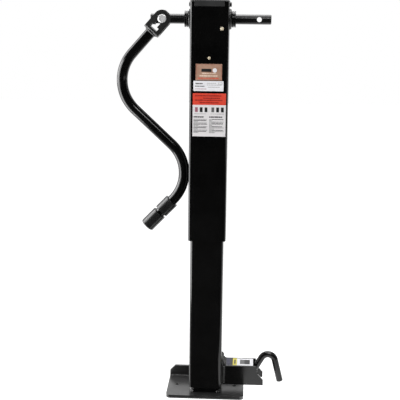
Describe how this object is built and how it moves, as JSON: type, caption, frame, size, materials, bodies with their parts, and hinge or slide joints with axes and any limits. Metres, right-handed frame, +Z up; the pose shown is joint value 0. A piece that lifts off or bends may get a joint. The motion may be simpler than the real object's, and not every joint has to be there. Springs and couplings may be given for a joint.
{
  "type": "trailer tongue jack",
  "caption": "Square direct-weld trailer jack with a side crank handle, screw lift, sprung drop leg with a J-hook pull pin, and a turned-up foot plate.",
  "frame": {"origin": "on the floor, under the axis of the square tubes, in the underside of the foot plate", "axes": "+Z up along the tubes, -Y towards the labelled front, +X towards the pull pin and the free end of the shaft"},
  "size_m": [0.4068, 0.14, 0.944],
  "materials": {
    "black_paint": "gloss black enamel",
    "black_sleeve": "gloss black",
    "dark_rod": "dark satin",
    "zinc": "zinc plated",
    "steel": "machined, oiled",
    "bronze": "machined",
    "brass": "machined",
    "label_tan": "printed film",
    "label_white": "printed film",
    "label_warning": "printed film",
    "label_bracket": "printed film"
  },
  "bodies": {
    "outer": {"outer_tube": "black_paint", "top_cap": "black_paint", "cap_screws": "black_paint", "shaft_bosses": "black_paint", "shaft_bushings": "bronze", "bearing_plate": "steel", "lower_race": "steel", "grease_fittings": "brass", "rating_label": "label_tan", "serial_label": "label_white", "warning_label": "label_warning"},
    "crank": {"cross_shaft": "black_paint", "shaft_collars": "black_paint", "bevel_pinion": "steel", "pinion_roll_pin": "steel", "yoke_pin": "zinc"},
    "handle": {"handle_yoke": "black_paint", "handle_tube": "black_paint", "handle_sleeve": "black_sleeve"},
    "grip": {"grip_sleeve": "black_sleeve"},
    "screw": {"lead_screw": "steel", "screw_gear": "steel", "gear_roll_pin": "steel", "upper_race": "steel", "bearing_balls": "steel", "bearing_cage": "bronze", "screw_washer": "steel"},
    "inner": {"inner_tube": "black_paint", "lift_nut": "bronze", "spring_hanger": "steel", "pin_doubler": "black_paint", "pin_bracket": "black_paint", "pin_guide_plate": "black_paint", "bracket_label": "label_bracket"},
    "plunger": {"pull_pin": "dark_rod", "pin_washer": "zinc", "pin_cotter": "zinc", "pin_spring": "steel"},
    "leg": {"drop_leg": "black_paint", "foot_plate": "black_paint", "spring_anchor": "steel", "return_spring": "steel"}
  },
  "joints": [
    {"name": "crank_spin", "type": "hinge", "parent": "outer", "child": "crank", "pos_m": [0, 0, 0.902], "axis": [1, 0, 0], "range_deg": [-21960, 4320]},
    {"name": "handle_fold", "type": "hinge", "parent": "crank", "child": "handle", "pos_m": [-0.11, 0, 0.902], "axis": [0, 1, 0], "range_deg": [0, 48.5]},
    {"name": "grip_spin", "type": "hinge", "parent": "handle", "child": "grip", "pos_m": [-0.11498, 0, 0.44588], "axis": [-0.6947, 0, -0.7193], "continuous": true},
    {"name": "screw_spin", "type": "hinge", "parent": "outer", "child": "screw", "pos_m": [0, 0, 0.86], "axis": [0, 0, 1], "range_deg": [-14641, 2881]},
    {"name": "lift_slide", "type": "slide", "parent": "outer", "child": "inner", "axis": [0, 0, -1], "range_m": [-0.25828, 0.05085]},
    {"name": "pin_pull", "type": "slide", "parent": "inner", "child": "plunger", "axis": [1, 0, 0], "range_m": [0, 0.019], "stiffness_N_per_m": 600, "springref_m": -0.03, "deforming": ["pin_spring"]},
    {"name": "leg_drop", "type": "slide", "parent": "inner", "child": "leg", "axis": [0, 0, -1], "range_m": [0, 0.343], "stiffness_N_per_m": 250, "springref_m": -0.35, "deforming": ["return_spring"]}
  ],
  "couplings": [
    {"joint": "screw_spin", "follows": "crank_spin", "ratio": 0.66667},
    {"joint": "lift_slide", "follows": "crank_spin", "m_per_rad": 0.00067376}
  ]
}
